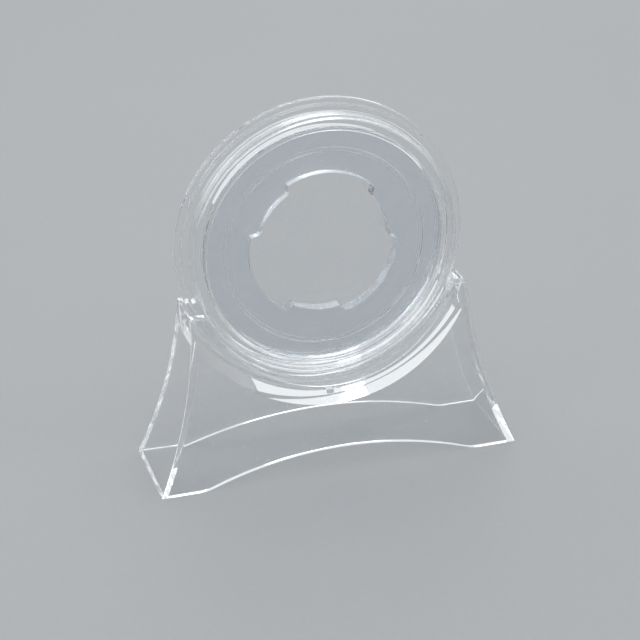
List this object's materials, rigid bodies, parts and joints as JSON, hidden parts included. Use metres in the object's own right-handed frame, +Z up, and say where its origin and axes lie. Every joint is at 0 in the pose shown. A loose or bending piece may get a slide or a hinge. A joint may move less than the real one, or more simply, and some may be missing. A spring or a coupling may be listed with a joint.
{
  "type": "coin capsule",
  "caption": "Round two-shell clear coin capsule with a tabbed adapter ring, standing in the grooved cradle of a flared clear display stand.",
  "frame": {"origin": "centre of the stand's footprint, on the surface that it stands on", "axes": "+Z up, +X to the right across the stand's width, -Y towards the front that the capsule faces"},
  "size_m": [0.0694, 0.0204, 0.0697],
  "materials": {
    "stand_plastic": "clear, polished",
    "shell_plastic": "clear, polished",
    "ring_plastic": "translucent, satin"
  },
  "bodies": {
    "stand": {"stand": "stand_plastic"},
    "back_shell": {"back_shell": "shell_plastic"},
    "front_shell": {"front_shell": "shell_plastic"},
    "adapter_ring": {"adapter_ring": "ring_plastic"}
  },
  "joints": [
    {"name": "capsule_lift", "type": "slide", "parent": "stand", "child": "back_shell", "axis": [0, 0, 1], "range_m": [0, 0.05]},
    {"name": "lid_pull", "type": "slide", "parent": "back_shell", "child": "front_shell", "axis": [0, -1, 0], "range_m": [0, 0.03]},
    {"name": "ring_pull", "type": "slide", "parent": "back_shell", "child": "adapter_ring", "axis": [0, -1, 0], "range_m": [0, 0.015]}
  ],
  "couplings": [
    {"joint": "ring_pull", "follows": "lid_pull", "ratio": 0.5}
  ]
}
